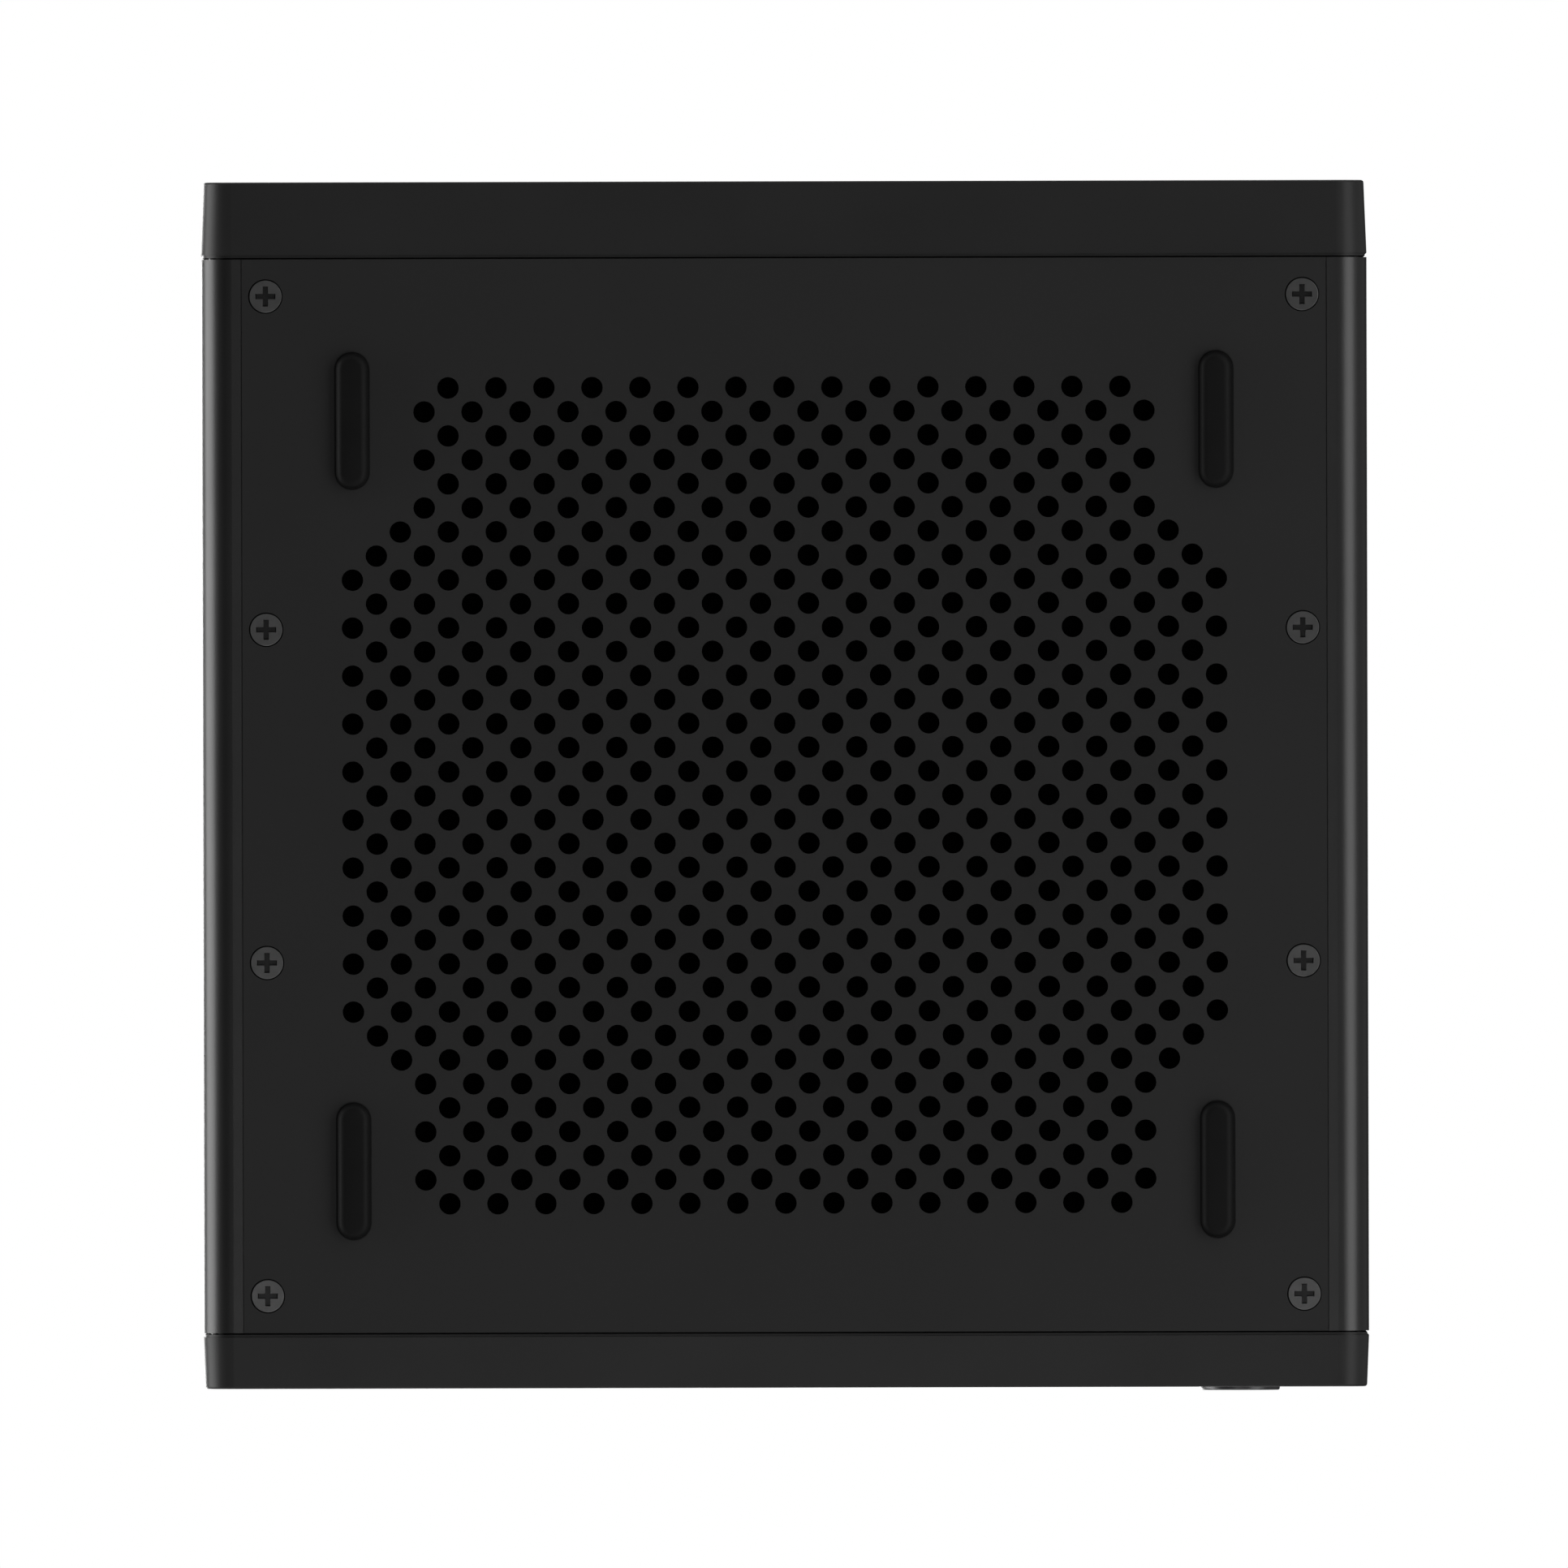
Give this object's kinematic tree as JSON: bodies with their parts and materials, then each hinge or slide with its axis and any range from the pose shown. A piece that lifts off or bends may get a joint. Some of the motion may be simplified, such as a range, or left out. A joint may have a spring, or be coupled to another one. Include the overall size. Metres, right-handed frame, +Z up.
{
  "type": "mini pc",
  "caption": "Flat square desktop computer in a black metal sleeve with plastic end bezels, a perforated base panel on rubber feet, front and rear sockets and a front power button.",
  "frame": {"origin": "middle of the footprint at the soles of the rubber feet", "axes": "+Z up, front with the power button towards -Y, +X to the right when facing the front"},
  "size_m": [0.189, 0.1962, 0.048],
  "materials": {
    "anodised_aluminium": "fine bead-blasted, black anodised",
    "painted_panel": "satin black powder coat",
    "black_screw_steel": "black oxide",
    "mesh_black": "fine woven black mesh",
    "foot_rubber": "smooth moulded",
    "bezel_plastic": "fine texture",
    "button_plastic": "fine texture",
    "shield_steel": "nickel plated",
    "frame_steel": "zinc plated sheet",
    "standoff_brass": "turned",
    "plain_screw_steel": "nickel plated",
    "circuit_board": "solder mask",
    "cpu_substrate": "laminate",
    "copper": "plain copper",
    "fin_aluminium": "mill finish sheet",
    "fan_plastic": "moulded",
    "socket_plastic": "moulded",
    "latch_steel": "spring steel",
    "antenna_film": "film",
    "lead_jacket": "jacket",
    "cell_steel": "plain",
    "drive_case": "smooth",
    "flex_film": "film",
    "port_steel": "nickel plated",
    "light_pipe": "clear, polished"
  },
  "bodies": {
    "chassis": {"sleeve": "anodised_aluminium", "bottom_panel": "painted_panel", "bottom_panel_screws": "black_screw_steel", "dust_mesh": "mesh_black", "foot_front_left": "foot_rubber", "foot_front_right": "foot_rubber", "foot_rear_left": "foot_rubber", "foot_rear_right": "foot_rubber", "front_bezel": "bezel_plastic", "rear_bezel": "bezel_plastic", "rear_io_shield": "shield_steel", "inner_frame": "frame_steel", "board_standoffs": "standoff_brass", "board_screws": "plain_screw_steel", "mainboard": "circuit_board", "front_io_board": "circuit_board", "cpu_package": "cpu_substrate", "cold_plate": "copper", "heat_pipe_1": "copper", "heat_pipe_2": "copper", "fin_stack": "fin_aluminium", "blower_housing": "fan_plastic", "blower_lid": "fan_plastic", "cooler_screws": "plain_screw_steel", "fan_frame": "fan_plastic", "fan_spacers": "foot_rubber", "ram_socket_1": "socket_plastic", "ram_socket_2": "socket_plastic", "ram_module_1": "circuit_board", "ram_module_2": "circuit_board", "m2_drive_1": "circuit_board", "m2_drive_2": "circuit_board", "m2_sockets": "socket_plastic", "m2_screws": "plain_screw_steel", "wifi_card": "circuit_board", "wifi_antennas": "antenna_film", "antenna_leads": "lead_jacket", "coin_cell": "cell_steel", "drive_caddy": "frame_steel", "sata_drive": "drive_case", "sata_flex": "flex_film", "front_flex_cable": "flex_film", "front_usb_ports": "port_steel", "front_usb_c_port": "port_steel", "audio_jack": "socket_plastic", "led_light_pipe": "light_pipe", "power_switch_body": "socket_plastic", "rear_usb_stack": "port_steel", "ethernet_port": "port_steel", "hdmi_port": "port_steel", "rear_usb_c_port": "port_steel", "dc_jack": "socket_plastic"},
    "power_button": {"power_button_cap": "button_plastic", "power_switch_plunger": "button_plastic"},
    "blower_wheel": {"blower_rotor": "fan_plastic"},
    "fan_wheel": {"fan_rotor": "fan_plastic"},
    "latch_1_left": {"ram_latch_1_left": "latch_steel"},
    "latch_1_right": {"ram_latch_1_right": "latch_steel"},
    "latch_2_left": {"ram_latch_2_left": "latch_steel"},
    "latch_2_right": {"ram_latch_2_right": "latch_steel"}
  },
  "joints": [
    {"name": "power_button_press", "type": "slide", "parent": "chassis", "child": "power_button", "axis": [0, 1, 0], "range_m": [0, 0.0004], "stiffness_N_per_m": 3200},
    {"name": "blower_spin", "type": "hinge", "parent": "chassis", "child": "blower_wheel", "pos_m": [-0.0407, 0.0343, 0.011], "axis": [0, 0, 1], "continuous": true},
    {"name": "fan_spin", "type": "hinge", "parent": "chassis", "child": "fan_wheel", "pos_m": [-0.042, -0.04035, 0.009], "axis": [0, 0, 1], "continuous": true},
    {"name": "ram_latch_1_left_flex", "type": "hinge", "parent": "chassis", "child": "latch_1_left", "pos_m": [0.0055, -0.05955, 0.0203], "axis": [0, 0, 1], "range_deg": [0, 6], "stiffness_Nm_per_rad": 1.2},
    {"name": "ram_latch_1_right_flex", "type": "hinge", "parent": "chassis", "child": "latch_1_right", "pos_m": [0.0765, -0.05955, 0.0203], "axis": [0, 0, 1], "range_deg": [-6, 0], "stiffness_Nm_per_rad": 1.2},
    {"name": "ram_latch_2_left_flex", "type": "hinge", "parent": "chassis", "child": "latch_2_left", "pos_m": [0.0055, -0.02455, 0.0203], "axis": [0, 0, 1], "range_deg": [0, 6], "stiffness_Nm_per_rad": 1.2},
    {"name": "ram_latch_2_right_flex", "type": "hinge", "parent": "chassis", "child": "latch_2_right", "pos_m": [0.0765, -0.02455, 0.0203], "axis": [0, 0, 1], "range_deg": [-6, 0], "stiffness_Nm_per_rad": 1.2}
  ]
}
